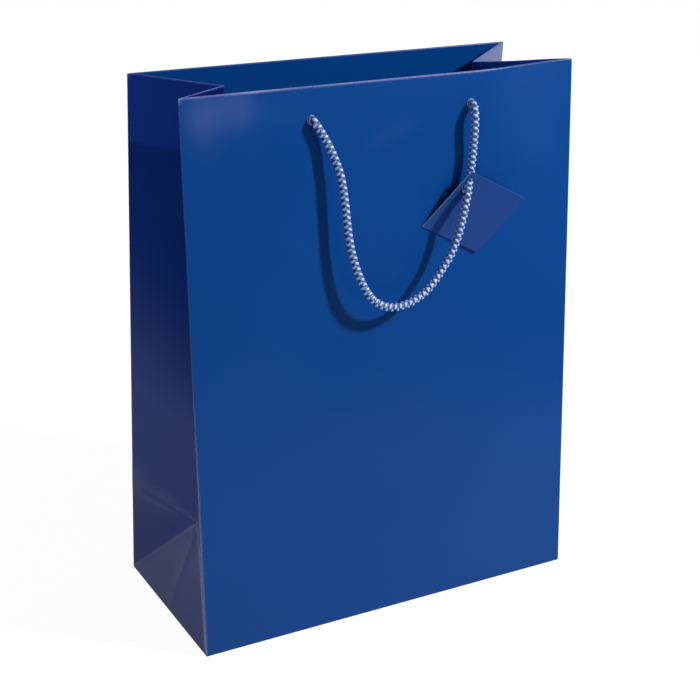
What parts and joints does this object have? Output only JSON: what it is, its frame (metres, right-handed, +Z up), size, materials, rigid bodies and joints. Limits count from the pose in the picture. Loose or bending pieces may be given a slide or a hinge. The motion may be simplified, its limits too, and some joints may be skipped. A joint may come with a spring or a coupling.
{
  "type": "paper gift bag",
  "caption": "Open paper gift bag with creased gussets, a turned-in hem, two hanging cord handles and a small folded tag.",
  "frame": {"origin": "on the surface the bag stands on, under the middle of its bottom", "axes": "+Z up; X along the two wide panels; -Y is the front panel, with the tag on its handle; +Y is the back"},
  "size_m": [0.2564, 0.1253, 0.3294],
  "materials": {
    "laminated_paper": "satin film laminate",
    "tag_card": "satin film laminate",
    "stiffener_card": "matte",
    "base_board": "matte",
    "braided_cord": "glossy braid"
  },
  "bodies": {
    "root": {"bag_body": "laminated_paper", "hem_card_front": "stiffener_card", "hem_card_back": "stiffener_card", "base_card": "base_board", "handle_front": "braided_cord", "handle_back": "braided_cord", "knot_front_left": "braided_cord", "knot_front_right": "braided_cord", "knot_back_left": "braided_cord", "knot_back_right": "braided_cord", "gift_tag": "tag_card"}
  },
  "joints": []
}
